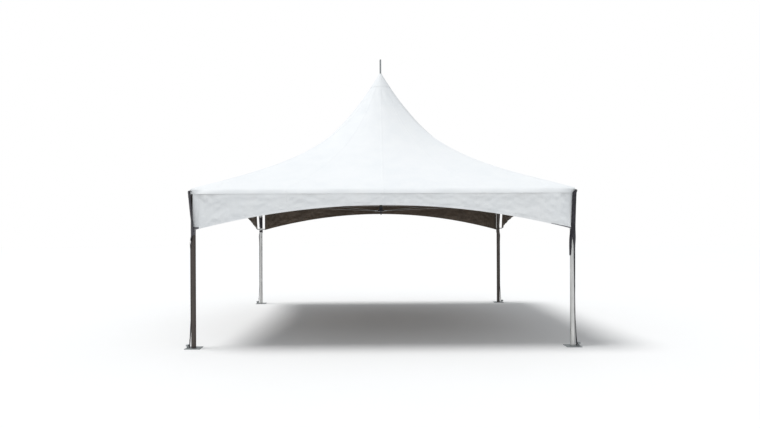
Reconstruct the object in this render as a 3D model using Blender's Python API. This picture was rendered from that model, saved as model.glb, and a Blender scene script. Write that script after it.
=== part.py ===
"""High peak frame marquee, a 20 ft square, at its real size.

The frame is four tube legs on base plates and a square of eave tubes joined by
four corner fittings. Two crossed cables carry a short king pole, which pushes
the white top up to its peak. Metres, +Z up, the front towards -Y, the origin on
the ground under the peak.
"""
from math import atan2, cos, hypot, pi, radians, sin, sqrt, tan

import bmesh
import bpy
from mathutils import Matrix, Vector

# Driving dimensions of the frame
LEG_SPAN = 6.02          # between leg axes, both ways
TUBE_RADIUS = 0.038      # legs and eave tubes, 3 in outside
TUBE_WALL = 0.003
TUBE_SIDES = 24
EAVE_HEIGHT = 2.497      # eave tube axis above the ground
HUB_DROP = 0.045         # from the eave axis down to the leg's top end
HUB_REACH = 0.075        # from the leg axis out to the eave tube's end
SPIGOT_RADIUS = 0.034
SPIGOT_LENGTH = 0.14

# Feet
PLATE_SIZE = 0.24
PLATE_THICK = 0.010
STAKE_RADIUS = 0.0125
STAKE_TOP = 0.068
STAKE_HEAD = 0.029       # radius of the domed head
STAKE_OFFSET = 0.098     # from the leg axis, outwards along X
STAKE_HOLE = 0.0132

# Mast and cables
MAST_RADIUS = 0.030
MAST_WALL = 0.003
MAST_FOOT = 2.270        # lower end of the mast tube
MAST_TOP = 4.800
HUB_TIP = 2.165          # lowest point of the cable hub
CABLE_RADIUS = 0.004
BOTTLE_RADIUS = 0.012    # turnbuckle body
CABLE_Z_CORNER = 2.474
CABLE_Z_HUB = 2.252
HUB_DISC = 0.090
LUG_THICK = 0.010
LUG_HEIGHT = 0.040
LUG_TIP = 0.092          # inner lug's end, from the leg axis along the diagonal
ROD_RADIUS = 0.017
ROD_TOP = 5.375

# Fabric top; the solids are thicker than the real 0.6 mm cloth
CLOTH = 0.006
WRAP_RADIUS = TUBE_RADIUS + 0.0008
PEAK_RISE = 2.585
PEAK_LINEAR = 0.53       # share of the rise that is a straight slope
PEAK_POWER = 3.1         # how sharply the rest sweeps up to the peak
ROUNDING_POWER = 1.2     # how fast the square section turns round
PANEL_COLUMNS = 12
PANEL_ROWS = 18
ROW_CROWDING = 1.7       # rows draw closer towards the peak, where the sweep is tightest
CAP_ROWS = 3             # rows at the peak that the cap covers
HEAD_ROWS = 2            # rows at the peak that bear on the mast head
PEAK_HALF = 0.036        # half width of the top's open end
CAP_CLEAR = 0.0012
CAP_THICK = 0.004
CAP_TOP = 5.070
HEAD_CLEAR = 0.0010

# Valances
VALANCE_MIDDLE = 2.258   # lower edge at the middle of a side
VALANCE_CORNER = 1.865   # lower edge at the ends
VALANCE_HALF = {"front": 3.006, "rear": 2.920, "left": 2.800, "right": 2.800}
VALANCE_STEPS = 24
TIE_PAST_LEG = 0.006     # the ties lie across the leg
TIE_HEIGHT = 0.036

# Tension straps
STRAP_WIDTH = 0.075
STRAP_THICK = 0.003
STRAP_LUG = 0.050        # width of the corner lug that the strap hangs from
STRAP_OUT = 0.068        # strap centre past the leg axis at the eave, along the diagonal
STRAP_HEAD = 0.034       # straight stretch that hangs from the corner's lug
STRAP_FACE = 80          # degrees that it has turned to the front or rear above the ties
STRAP_TIES = 1.930       # where it comes to the ties
STRAP_TIES_OUT = 0.050   # from the leg axis, clear of the ties
STRAP_ROLL = 1.845       # below the ties it starts to roll round the leg
STRAP_SEAT = 1.560       # where it lies flat along the leg's outer side
STRAP_LEAVE = 0.450      # where it leaves the leg for the plate
STRAP_FOOT = 0.064       # from the leg axis to the strap where it meets the plate
STRAP_STEPS = 16

GAP = 0.0003
END_GAP = 0.0009         # at a cable's ends, which lean a little to their seats
WELD = 0.00001
HALF = LEG_SPAN / 2
DIAGONAL = HALF * sqrt(2)
SIDES = {"front": -90, "right": 0, "rear": 90, "left": 180}
CORNERS = {"fl": (-1, -1), "fr": (1, -1), "rl": (-1, 1), "rr": (1, 1)}
TURNS = {"rr": 0, "rl": 90, "fl": 180, "fr": 270}


def clear_scene():
    for item in list(bpy.data.objects):
        bpy.data.objects.remove(item, do_unlink=True)


def material(name, colour, roughness, metallic=0.0):
    mat = bpy.data.materials.new(name)
    mat.use_nodes = True
    shader = mat.node_tree.nodes["Principled BSDF"]
    shader.inputs["Base Color"].default_value = (*colour, 1.0)
    shader.inputs["Roughness"].default_value = roughness
    shader.inputs["Metallic"].default_value = metallic
    return mat


def to_mesh(name, bm, mat, smooth):
    """Turn a bmesh into mesh data with its faces pointing out."""
    bmesh.ops.recalc_face_normals(bm, faces=bm.faces)
    mesh = bpy.data.meshes.new(name)
    bm.to_mesh(mesh)
    bm.free()
    mesh.materials.append(mat)
    if smooth:
        mesh.shade_smooth()
        mesh.set_sharp_from_angle(angle=radians(35))
    return mesh


def place(name, mesh, location=(0, 0, 0), turn=0):
    """One named object that stands on a mesh, turned about Z in degrees."""
    obj = bpy.data.objects.new(name, mesh)
    obj.location = location
    obj.rotation_euler = (0, 0, radians(turn))
    bpy.context.scene.collection.objects.link(obj)
    return obj


def turned(profile, sides, closed=False):
    """Spin (radius, height) points about Z; closed joins the last to the first."""
    bm = bmesh.new()
    verts = [bm.verts.new((radius, 0, height)) for radius, height in profile]
    ends = verts[1:] + verts[:1] if closed else verts[1:]
    edges = [bm.edges.new(pair) for pair in zip(verts, ends)]
    bmesh.ops.spin(
        bm, geom=verts + edges, cent=(0, 0, 0), axis=(0, 0, 1), angle=2 * pi, steps=sides, use_merge=True
    )
    bmesh.ops.remove_doubles(bm, verts=bm.verts, dist=WELD)
    bmesh.ops.dissolve_degenerate(bm, dist=WELD, edges=bm.edges)
    return bm


def tube(radius, wall, length, sides=TUBE_SIDES):
    inner = radius - wall
    return turned([(inner, 0), (radius, 0), (radius, length), (inner, length)], sides, closed=True)


def rod(radius, length, sides=TUBE_SIDES, bevel=0.0):
    return turned([(0, 0), (radius, 0), (radius, length - bevel), (radius - bevel, length), (0, length)], sides)


def box(size, bevel=0.0):
    bm = bmesh.new()
    bmesh.ops.create_cube(bm, size=1.0)
    bmesh.ops.scale(bm, vec=size, verts=bm.verts)
    if bevel:
        bmesh.ops.bevel(
            bm, geom=bm.edges, offset=bevel, offset_type="OFFSET", segments=2, profile=0.5, affect="EDGES"
        )
    return bm


def moved(bm, matrix):
    bmesh.ops.transform(bm, matrix=matrix, verts=bm.verts)
    return bm


def loft(rings, closed=False):
    """Join rings of points with quads; closed joins the last to the first, else both ends are capped."""
    bm = bmesh.new()
    loops = [[bm.verts.new(point) for point in ring] for ring in rings]
    pairs = list(zip(loops, loops[1:]))
    if closed:
        pairs.append((loops[-1], loops[0]))
    else:
        bm.faces.new(loops[0])
        bm.faces.new(loops[-1])
    for first, second in pairs:
        for i in range(len(first)):
            bm.faces.new((first[i - 1], first[i], second[i], second[i - 1]))
    return bm


def tool(name, bm, mat):
    """A helper solid that a Boolean adds or cuts; the build leaves it out."""
    obj = place(name, to_mesh(name, bm, mat, False))
    obj.hide_render = True
    obj.display_type = "WIRE"
    return obj


def combine(obj, other, operation):
    step = obj.modifiers.new(other.name, "BOOLEAN")
    step.operation = operation
    step.object = other
    step.solver = "EXACT"


# Frame

def leg_mesh(mat):
    foot = PLATE_THICK + GAP
    length = EAVE_HEIGHT - HUB_DROP - GAP - foot
    return to_mesh("leg", moved(tube(TUBE_RADIUS, TUBE_WALL, length), Matrix.Translation((0, 0, foot))), mat, True)


def base_plate(name, sign_x, mat):
    """Square foot with a spigot up into the leg and a hole for its stake."""
    plate = box((PLATE_SIZE, PLATE_SIZE, PLATE_THICK), 0.002)
    mesh = to_mesh(name, moved(plate, Matrix.Translation((0, 0, PLATE_THICK / 2))), mat, False)
    obj = place(name, mesh)
    start = PLATE_THICK / 2
    spigot = rod(SPIGOT_RADIUS, SPIGOT_LENGTH + start, bevel=0.004)
    combine(obj, tool(name + "_spigot", moved(spigot, Matrix.Translation((0, 0, start))), mat), "UNION")
    hole = rod(STAKE_HOLE, 4 * PLATE_THICK)
    shift = Matrix.Translation((sign_x * STAKE_OFFSET, 0, -PLATE_THICK))
    combine(obj, tool(name + "_hole", moved(hole, shift), mat), "DIFFERENCE")
    return obj


def corner_mesh_parts(mat):
    """Corner fitting at (+X, +Y) about the meeting of the three tube axes."""
    dome = TUBE_RADIUS - 0.001
    quarter = [(dome * cos(radians(d)), dome * sin(radians(d))) for d in range(0, 90, 15)]
    body = turned([(0, -HUB_DROP), (dome, -HUB_DROP)] + quarter + [(0, dome)], TUBE_SIDES)
    down = rod(SPIGOT_RADIUS, SPIGOT_LENGTH + 0.02)
    down = moved(down, Matrix.Translation((0, 0, -HUB_DROP - SPIGOT_LENGTH)))
    arms = []
    lay_x = Matrix.Rotation(radians(-90), 4, "Y")
    lay_y = Matrix.Rotation(radians(90), 4, "X")
    for flat, twist in ((lay_x, 3.0), (lay_y, 5.0)):
        arm = turned(
            [
                (0, 0), (TUBE_RADIUS, 0), (TUBE_RADIUS, HUB_REACH), (SPIGOT_RADIUS, HUB_REACH),
                (SPIGOT_RADIUS, HUB_REACH + SPIGOT_LENGTH), (0, HUB_REACH + SPIGOT_LENGTH),
            ],
            TUBE_SIDES,
        )
        arms.append(moved(arm, flat @ Matrix.Rotation(radians(twist), 4, "Z")))
    inner = box((LUG_TIP, LUG_THICK, LUG_HEIGHT))
    inner = moved(inner, Matrix.Rotation(radians(225), 4, "Z") @ Matrix.Translation((LUG_TIP / 2, 0, 0)))
    inner = moved(inner, Matrix.Translation((0, 0, CABLE_Z_CORNER - EAVE_HEIGHT)))
    outer_tip = STRAP_OUT - STRAP_THICK / 2 - GAP
    outer = box((outer_tip, STRAP_LUG, 0.008))
    outer = moved(outer, Matrix.Rotation(radians(45), 4, "Z") @ Matrix.Translation((outer_tip / 2, 0, -0.014)))
    return body, [down] + arms + [inner, outer]


def corner_fitting(name, location, turn, mat):
    body, others = corner_mesh_parts(mat)
    obj = place(name, to_mesh(name, body, mat, True), location, turn)
    for number, bm in enumerate(others):
        helper = tool(f"{name}_arm{number}", bm, mat)
        helper.location = location
        helper.rotation_euler = obj.rotation_euler
        combine(obj, helper, "UNION")
    return obj


def eave_mesh(mat):
    length = LEG_SPAN - 2 * (HUB_REACH + GAP)
    bm = moved(tube(TUBE_RADIUS, TUBE_WALL, length), Matrix.Translation((0, 0, -length / 2)))
    return to_mesh("eave_tube", moved(bm, Matrix.Rotation(radians(90), 4, "X")), mat, True)


def stake_mesh(mat):
    """Steel stake above the ground, with its domed head."""
    low = STAKE_TOP - 0.036
    profile = [(0, 0), (STAKE_RADIUS, 0), (STAKE_RADIUS, low), (STAKE_HEAD - 0.003, low + 0.002)]
    for degrees in range(0, 90, 15):
        turn = radians(degrees)
        profile.append((STAKE_HEAD * cos(turn), low + 0.007 + (STAKE_TOP - low - 0.007) * sin(turn)))
    profile.append((0, STAKE_TOP))
    return to_mesh("stake", turned(profile, TUBE_SIDES), mat, True)


# Mast, hub and cables

def cable_hub_mesh(mat):
    """Disc that the crossed cables meet at, with a cup for the mast above it."""
    floor = MAST_FOOT - GAP
    cup = MAST_RADIUS + 0.0008
    profile = [
        (0, HUB_TIP), (0.010, HUB_TIP + 0.010), (0.014, HUB_TIP + 0.055), (0.030, HUB_TIP + 0.070),
        (HUB_DISC, CABLE_Z_HUB - 0.007), (HUB_DISC, CABLE_Z_HUB + 0.007), (cup + 0.006, CABLE_Z_HUB + 0.010),
        (cup + 0.006, floor + 0.055), (cup, floor + 0.055), (cup, floor), (0, floor),
    ]
    return to_mesh("cable_hub", turned(profile, TUBE_SIDES), mat, True)


def cable(name, sign_x, sign_y, mat):
    """Wire rope from a corner lug to the hub, with its turnbuckle near the corner."""
    start_out = DIAGONAL - LUG_TIP - END_GAP
    start = Vector((start_out, 0, CABLE_Z_CORNER))
    end = Vector((HUB_DISC + END_GAP, 0, CABLE_Z_HUB))
    length = (end - start).length
    fork = BOTTLE_RADIUS
    profile = [
        (0, 0), (fork, 0), (fork, 0.050), (0.006, 0.060), (0.006, 0.110), (BOTTLE_RADIUS, 0.120),
        (BOTTLE_RADIUS, 0.290), (0.006, 0.300), (0.006, 0.350), (CABLE_RADIUS, 0.360),
        (CABLE_RADIUS, length - 0.090), (0.007, length - 0.080), (0.007, length), (0, length),
    ]
    lean = atan2(end.x - start.x, end.z - start.z)
    turn = atan2(sign_y, sign_x)
    matrix = Matrix.Rotation(turn, 4, "Z") @ Matrix.Translation(start) @ Matrix.Rotation(lean, 4, "Y")
    square_end = turned(profile, 12)
    return place(name, to_mesh(name, moved(square_end, matrix), mat, True))


def canopy_height(half):
    """Height of the outer cloth at the middle of a side, half metres from the peak's axis."""
    t = 1 - half / ROOF_HALF
    return ROOF_EAVE + PEAK_RISE * (PEAK_LINEAR * t + (1 - PEAK_LINEAR) * t ** PEAK_POWER)


def canopy_slope(half):
    t = 1 - half / ROOF_HALF
    return PEAK_RISE / ROOF_HALF * (PEAK_LINEAR + (1 - PEAK_LINEAR) * PEAK_POWER * t ** (PEAK_POWER - 1))


def canopy_offset(half, distance):
    """Point of the side's middle line, moved out along the cloth's normal."""
    slope = canopy_slope(half)
    norm = hypot(1, slope)
    return half + distance * slope / norm, canopy_height(half) + distance / norm


def roundness(half):
    t = 1 - half / ROOF_HALF
    return max(t, 0) ** ROUNDING_POWER


def section_point(half, rounding, angle, height):
    """Point of the top's level section: a square at the eave, a circle at the peak."""
    local = (angle + pi / 4) % (pi / 2) - pi / 4
    radius = half * ((1 - rounding) / cos(local) + rounding)
    return radius * cos(angle), radius * sin(angle), height


SLOPE_EAVE = PEAK_RISE * PEAK_LINEAR / HALF
WRAP_END = pi / 2 - atan2(SLOPE_EAVE, 1)
ROOF_HALF = HALF + (WRAP_RADIUS + CLOTH) * cos(WRAP_END)
ROOF_EAVE = EAVE_HEIGHT + (WRAP_RADIUS + CLOTH) * sin(WRAP_END)


def panel_halves():
    """Half widths of the top's rows, eave to peak."""
    span = ROOF_HALF - PEAK_HALF
    return [PEAK_HALF + span * (1 - step / PANEL_ROWS) ** ROW_CROWDING for step in range(PANEL_ROWS + 1)]


def roof_rows():
    """Outer and inner (half, height) of the cloth with its roundness, eave to peak."""
    rows = []
    for step in range(6):
        angle = WRAP_END * step / 6
        outer = WRAP_RADIUS + CLOTH
        rows.append((
            (HALF + outer * cos(angle), EAVE_HEIGHT + outer * sin(angle)),
            (HALF + WRAP_RADIUS * cos(angle), EAVE_HEIGHT + WRAP_RADIUS * sin(angle)),
            0.0,
        ))
    for half in panel_halves():
        rows.append((canopy_offset(half, 0), canopy_offset(half, -CLOTH), roundness(half)))
    return rows


def roof_panel(name, turn, mat):
    """One quarter of the top, from hip to hip, as a closed sheet."""
    angles = [radians(-45 + 90 * i / PANEL_COLUMNS) for i in range(PANEL_COLUMNS + 1)]
    rings = []
    for outer, inner, rounding in roof_rows():
        ring = []
        for (half, height), order in ((outer, angles), (inner, angles[::-1])):
            for angle in order:
                x, y, z = section_point(half, rounding, angle, height)
                if abs(abs(angle) - pi / 4) < WELD:
                    y -= GAP if y > 0 else -GAP
                ring.append((x, y, z))
        rings.append(ring)
    bm = loft(rings)
    return place(name, to_mesh(name, bm, mat, True), turn=turn)


def peak_cap_mesh(mat):
    """Rain cap that follows the top of the cloth and closes on the rod."""
    count = 4 * PANEL_COLUMNS
    angles = [2 * pi * i / count for i in range(count)]
    halves = panel_halves()[-1 - CAP_ROWS:]
    under = [(*canopy_offset(half, CAP_CLEAR), roundness(half)) for half in halves]
    over = [(*canopy_offset(half, CAP_CLEAR + CAP_THICK), roundness(half)) for half in halves]
    collar = ROD_RADIUS + 0.0006
    rows = under + [(collar, CAP_TOP - 0.004, 1.0), (collar, CAP_TOP + 0.010, 1.0)]
    rows += [(collar + 0.004, CAP_TOP + 0.010, 1.0), (collar + 0.005, CAP_TOP, 1.0)] + over[::-1]
    rings = [[section_point(half, turn, angle, height) for angle in angles] for half, height, turn in rows]
    return to_mesh("peak_cap", loft(rings, closed=True), mat, True)


def mast_head_mesh(mat):
    """Crown on the mast that the cloth bears on, with a stub inside the mast."""
    stub = MAST_RADIUS - MAST_WALL - 0.0008
    halves = panel_halves()[-1 - HEAD_ROWS:]
    cone = [canopy_offset(half, -CLOTH - HEAD_CLEAR) for half in halves]
    low = cone[0][1] - 0.012
    profile = [
        (0, MAST_TOP - 0.080), (stub, MAST_TOP - 0.080), (stub, MAST_TOP + GAP), (0.040, MAST_TOP + GAP),
        (0.040, low - 0.006), (cone[0][0] - 0.004, low), *cone, (0, cone[-1][1]),
    ]
    return to_mesh("mast_head", turned(profile, 4 * PANEL_COLUMNS), mat, True)


def finial_mesh(mat):
    foot = canopy_offset(PEAK_HALF, -CLOTH - HEAD_CLEAR)[1] + GAP
    bm = rod(ROD_RADIUS, ROD_TOP - foot, 16, bevel=0.005)
    return to_mesh("finial_rod", moved(bm, Matrix.Translation((0, 0, foot))), mat, True)


# Valances

def valance_bottom(along, half):
    """Lower edge of the valance: one smooth arch between its ends."""
    return VALANCE_MIDDLE - (VALANCE_MIDDLE - VALANCE_CORNER) * (along / half) ** 2


def valance(name, half, turn, mat):
    """Arched skirt outside the eave tube, with a tie at each lower corner."""
    top = EAVE_HEIGHT - GAP
    tie_end = HALF + TIE_PAST_LEG
    stops = [half - 2 * half * i / VALANCE_STEPS for i in range(VALANCE_STEPS + 1)]
    arch = [(along, valance_bottom(along, half)) for along in stops]
    low, high = VALANCE_CORNER, VALANCE_CORNER + TIE_HEIGHT
    outline = [(-half, top), (half, top), (half, high), (tie_end, high), (tie_end, low)]
    outline += arch + [(-tie_end, low), (-tie_end, high), (-half, high)]
    bm = bmesh.new()
    inner = HALF + WRAP_RADIUS
    face = bm.faces.new([bm.verts.new((inner, along, height)) for along, height in outline])
    grown = bmesh.ops.extrude_face_region(bm, geom=[face])
    new_verts = [item for item in grown["geom"] if isinstance(item, bmesh.types.BMVert)]
    bmesh.ops.translate(bm, vec=(CLOTH, 0, 0), verts=new_verts)
    return place(name, to_mesh(name, bm, mat, False), turn=turn)


# Straps

def strap_frames():
    """(reach from the leg axis, facing, height) down the strap, its facing in degrees from X."""
    top = EAVE_HEIGHT + 0.006
    seat = TUBE_RADIUS + 0.0008 + STRAP_THICK / 2
    knots = [
        (STRAP_OUT, 45, top - STRAP_HEAD), (STRAP_TIES_OUT, STRAP_FACE, STRAP_TIES),
        (STRAP_TIES_OUT, STRAP_FACE, STRAP_ROLL), (seat, 0, STRAP_SEAT),
    ]
    frames = [(STRAP_OUT, 45, top)]
    for (reach, face, height), (next_reach, next_face, next_height) in zip(knots, knots[1:]):
        steps = STRAP_STEPS if next_face != face else 1
        for step in range(steps):
            part = step / steps
            turned = part * part * (3 - 2 * part)
            frames.append((
                reach + (next_reach - reach) * turned, face + (next_face - face) * turned,
                height + (next_height - height) * part,
            ))
    frames += [knots[-1], (seat, 0, STRAP_LEAVE), (STRAP_FOOT, 0, PLATE_THICK + GAP)]
    return frames


def ribbon(rings):
    """Loft through four-point rings; both broad faces split the same way, so a twist keeps its thickness."""
    bm = bmesh.new()
    loops = [[bm.verts.new(point) for point in ring] for ring in rings]
    for (a, b, c, d), (e, f, g, h) in zip(loops, loops[1:]):
        for corners in ((a, b, f), (a, f, e), (d, c, g), (d, g, h), (b, c, g, f), (d, a, e, h)):
            bm.faces.new(corners)
    bm.faces.new(loops[0])
    bm.faces.new(loops[-1])
    return bm


def tension_strap(name, sign_x, sign_y, mat):
    """Webbing from the eave corner, down across the ties and along the leg to its base plate."""
    rings = []
    for reach, face, height in strap_frames():
        turn = radians(face)
        centre = Vector((HALF + reach * cos(turn), HALF + reach * sin(turn), height))
        across = Vector((-sin(turn), cos(turn), 0)) * STRAP_WIDTH / 2
        out = Vector((cos(turn), sin(turn), 0)) * STRAP_THICK / 2
        corners = (centre - across - out, centre + across - out, centre + across + out, centre - across + out)
        rings.append([(sign_x * p.x, sign_y * p.y, p.z) for p in corners])
    return place(name, to_mesh(name, ribbon(rings), mat, False))


def build():
    clear_scene()
    aluminium = material("aluminium tube", (0.62, 0.62, 0.61), 0.38, 1.0)
    dark_tube = material("dark weathered tube", (0.08, 0.07, 0.06), 0.55, 0.6)
    galvanised = material("galvanised steel", (0.45, 0.46, 0.46), 0.5, 1.0)
    cast = material("cast aluminium", (0.40, 0.40, 0.40), 0.55, 1.0)
    wire = material("wire rope", (0.35, 0.35, 0.35), 0.45, 1.0)
    white = material("white coated fabric", (0.86, 0.88, 0.89), 0.5)
    webbing = material("black webbing", (0.02, 0.018, 0.022), 0.8)

    legs = {
        "fl": leg_mesh(dark_tube), "fr": leg_mesh(aluminium),
        "rl": leg_mesh(aluminium), "rr": leg_mesh(dark_tube),
    }
    stake = stake_mesh(galvanised)
    for tag, (sign_x, sign_y) in CORNERS.items():
        foot = (sign_x * HALF, sign_y * HALF, 0)
        place(f"leg_{tag}", legs[tag], foot)
        plate = base_plate(f"base_plate_{tag}", sign_x, galvanised)
        plate.location = foot
        for step in plate.modifiers:
            step.object.location = foot
        place(f"stake_{tag}", stake, (sign_x * (HALF + STAKE_OFFSET), sign_y * HALF, 0))
        corner_fitting(f"corner_fitting_{tag}", (*foot[:2], EAVE_HEIGHT), TURNS[tag], cast)
        cable(f"cable_{tag}", sign_x, sign_y, wire)
        tension_strap(f"tension_strap_{tag}", sign_x, sign_y, webbing)

    tubes = eave_mesh(aluminium)
    for side, turn in SIDES.items():
        out = Matrix.Rotation(radians(turn), 3, "Z") @ Vector((HALF, 0, EAVE_HEIGHT))
        place(f"eave_tube_{side}", tubes, out, turn)
        roof_panel(f"roof_panel_{side}", turn, white)
        valance(f"valance_{side}", VALANCE_HALF[side], turn, white)

    place("cable_hub", cable_hub_mesh(galvanised))
    mast = moved(tube(MAST_RADIUS, MAST_WALL, MAST_TOP - MAST_FOOT), Matrix.Translation((0, 0, MAST_FOOT)))
    place("king_pole", to_mesh("king_pole", mast, aluminium, True))
    place("mast_head", mast_head_mesh(cast))
    place("finial_rod", finial_mesh(galvanised))
    place("peak_cap", peak_cap_mesh(white))


build()
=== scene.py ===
"""Looks of the high peak frame marquee: cloth, webbing, ropes and finishes.

Every size below that the solids hold is read from their boxes; the rest are the
maker's own measures.
"""
from math import atan2, cos, pi, radians, sin, sqrt

import bmesh
import bpy
import numpy as np
from mathutils import Matrix, Vector, noise


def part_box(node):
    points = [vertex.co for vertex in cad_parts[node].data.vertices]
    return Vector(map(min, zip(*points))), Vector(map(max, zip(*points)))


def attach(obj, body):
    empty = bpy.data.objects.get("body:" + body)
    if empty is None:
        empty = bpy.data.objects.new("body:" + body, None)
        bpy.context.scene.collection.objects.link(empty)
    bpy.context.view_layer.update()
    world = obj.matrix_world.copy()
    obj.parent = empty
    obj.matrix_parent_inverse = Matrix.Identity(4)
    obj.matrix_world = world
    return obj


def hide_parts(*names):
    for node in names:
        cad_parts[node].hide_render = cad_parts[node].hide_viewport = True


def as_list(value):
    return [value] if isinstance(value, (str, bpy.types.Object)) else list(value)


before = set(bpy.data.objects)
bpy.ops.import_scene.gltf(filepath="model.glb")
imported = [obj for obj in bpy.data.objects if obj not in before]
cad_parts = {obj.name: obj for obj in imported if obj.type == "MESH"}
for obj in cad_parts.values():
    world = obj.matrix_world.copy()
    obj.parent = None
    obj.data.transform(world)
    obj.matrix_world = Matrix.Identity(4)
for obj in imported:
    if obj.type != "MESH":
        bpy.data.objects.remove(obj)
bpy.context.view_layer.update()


def middle(node):
    low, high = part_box(node)
    return (low + high) / 2


def span(node):
    low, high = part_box(node)
    return high - low


SIDES = {"front": -90, "right": 0, "rear": 90, "left": 180}    # which way each side faces, from X
CORNERS = {"fl": (-1, -1), "fr": (1, -1), "rl": (-1, 1), "rr": (1, 1)}

# Frame, read from the solids
SPIGOT = 0.140                                 # it stands above each base plate, inside the leg
HALF = middle("leg_fr").x                      # leg axis from the middle, both ways
TUBE_RADIUS = span("leg_fr").x / 2
EAVE_HEIGHT = middle("eave_tube_front").z      # eave tube axis
PLATE_TOP = span("base_plate_fr").z - SPIGOT
SOLID_CLOTH = span("valance_front").y          # thickness of the plain cloth solids
WRAP_RADIUS = -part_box("valance_front")[1].y - HALF

# The real cloth is 0.6 mm thick; that would flicker at this distance, so it is drawn thicker
CLOTH = 0.0012
LAP = 0.0007             # how far a second layer stands off the first
SHARP = radians(40)      # an edge that turns more than this stays sharp
NOISE_GAIN = 1.6         # brings the noise up to about -1 to 1


# Small tools

def linear(code):
    """An sRGB hex colour as linear RGBA."""
    channels = [int(code[i:i + 2], 16) / 255 for i in (1, 3, 5)]
    return (*[c / 12.92 if c <= 0.04045 else ((c + 0.055) / 1.055) ** 2.4 for c in channels], 1.0)


def feed(item, inputs):
    """Fill a node's inputs: each takes a value, a hex colour, a socket, or a node's first output."""
    for key, value in inputs.items():
        if isinstance(value, bpy.types.Node):
            value = next(socket for socket in value.outputs if socket.enabled)
        if isinstance(value, bpy.types.NodeSocket):
            item.id_data.links.new(value, item.inputs[key])
        else:
            item.inputs[key].default_value = linear(value) if isinstance(value, str) else value


def add(tree, kind, inputs=None, **settings):
    """Add one node with its settings and what feeds it."""
    item = tree.nodes.new(kind)
    for key, value in settings.items():
        setattr(item, key, value)
    feed(item, inputs or {})
    return item


def blank_material(name, plain):
    """A material with its plain shader and the surface's own coordinates in metres."""
    mat = bpy.data.materials.new(name)
    mat.use_nodes = True
    tree = mat.node_tree
    shader = tree.nodes["Principled BSDF"]
    feed(shader, plain)
    return mat, tree, shader, add(tree, "ShaderNodeTexCoord").outputs["Object"]


def per_metre(millimetres):
    """Noise scale that gives one blotch for each so many millimetres."""
    return 1000.0 / millimetres


def smooth_step(low, high, value):
    """0 up to low, 1 from high on, and a soft rise between them."""
    part = np.clip((value - low) / (high - low), 0.0, 1.0)
    return part * part * (3 - 2 * part)


def ripple(x, y, seed):
    """Smooth unevenness from -1 to 1 at points (x, y), the same on each run."""
    flat_x, flat_y = np.broadcast_arrays(np.asarray(x, float), np.asarray(y, float))
    values = [noise.noise(Vector((a, b, seed))) for a, b in zip(flat_x.ravel(), flat_y.ravel())]
    return np.array(values).reshape(flat_x.shape) * NOISE_GAIN


def about_axis(reach, angle, height):
    """Points at a distance and an angle about an upright axis, and at a height."""
    return np.stack(np.broadcast_arrays(reach * np.cos(angle), reach * np.sin(angle), height), axis=-1)


def towards(bearing):
    """Level unit vectors at bearings from X."""
    return about_axis(1.0, bearing, 0 * bearing)


def flat_grid(along, up):
    """Flat (along, up) points of a cloth grid, a row for each place up."""
    return np.stack(np.broadcast_arrays(along, np.reshape(up, (len(up), -1))), axis=-1)


def unit(vectors):
    return vectors / np.linalg.norm(vectors, axis=-1, keepdims=True)


def reached(steps):
    """Distance from the start at each end of the steps."""
    return np.concatenate([[0], np.cumsum(steps)])


def soften(values, passes):
    """Take the corners out of a run of values whose ends stay put."""
    for _ in range(passes):
        values[1:-1] = (values[:-2] + 2 * values[1:-1] + values[2:]) / 4


def placed(name, data):
    """An object of this data, in the scene."""
    obj = bpy.data.objects.new(name, data)
    bpy.context.scene.collection.objects.link(obj)
    return obj


def smooth_object(name, mesh):
    mesh.shade_smooth()
    mesh.set_sharp_from_angle(angle=SHARP)
    return placed(name, mesh)


def mesh_object(name, points, faces, materials, indices=None, uvs=None):
    """A mesh from points and faces, with one material index for each face."""
    mesh = bpy.data.meshes.new(name)
    mesh.from_pydata([tuple(p) for p in points], [], [tuple(map(int, f)) for f in faces])
    for mat in materials:
        mesh.materials.append(mat)
    if indices is not None:
        mesh.polygons.foreach_set("material_index", indices)
    if uvs is not None:
        layer = mesh.uv_layers.new(name="cloth")
        corners = np.zeros(len(mesh.loops), dtype=np.int32)
        mesh.loops.foreach_get("vertex_index", corners)
        layer.data.foreach_set("uv", np.asarray(uvs, np.float32)[corners].ravel())
    mesh.update()
    return smooth_object(name, mesh)


def fix(obj, slot, nodes=()):
    """Hand the finished piece to the frame: it rides the one body."""
    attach(obj, "root")
    if nodes:
        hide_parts(*nodes)
    return obj


def grid_normals(grid, closed):
    """Unit normals of a (rows, columns, 3) grid; closed joins the last column to the first."""
    down = np.gradient(grid, axis=0)
    if closed:
        wide = np.concatenate([grid[:, -1:], grid, grid[:, :1]], axis=1)
        across = (wide[:, 2:] - wide[:, :-2]) / 2
    else:
        across = np.gradient(grid, axis=1)
    return unit(np.cross(across, down))


def grid_faces(rows, columns, closed=False, base=0):
    """Quads between the points of a grid, which are numbered from base."""
    faces = []
    for i in range(rows - 1):
        for j in range(columns if closed else columns - 1):
            a, b = base + i * columns + j, base + i * columns + (j + 1) % columns
            faces.append((a, b, b + columns, a + columns))
    return faces


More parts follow.
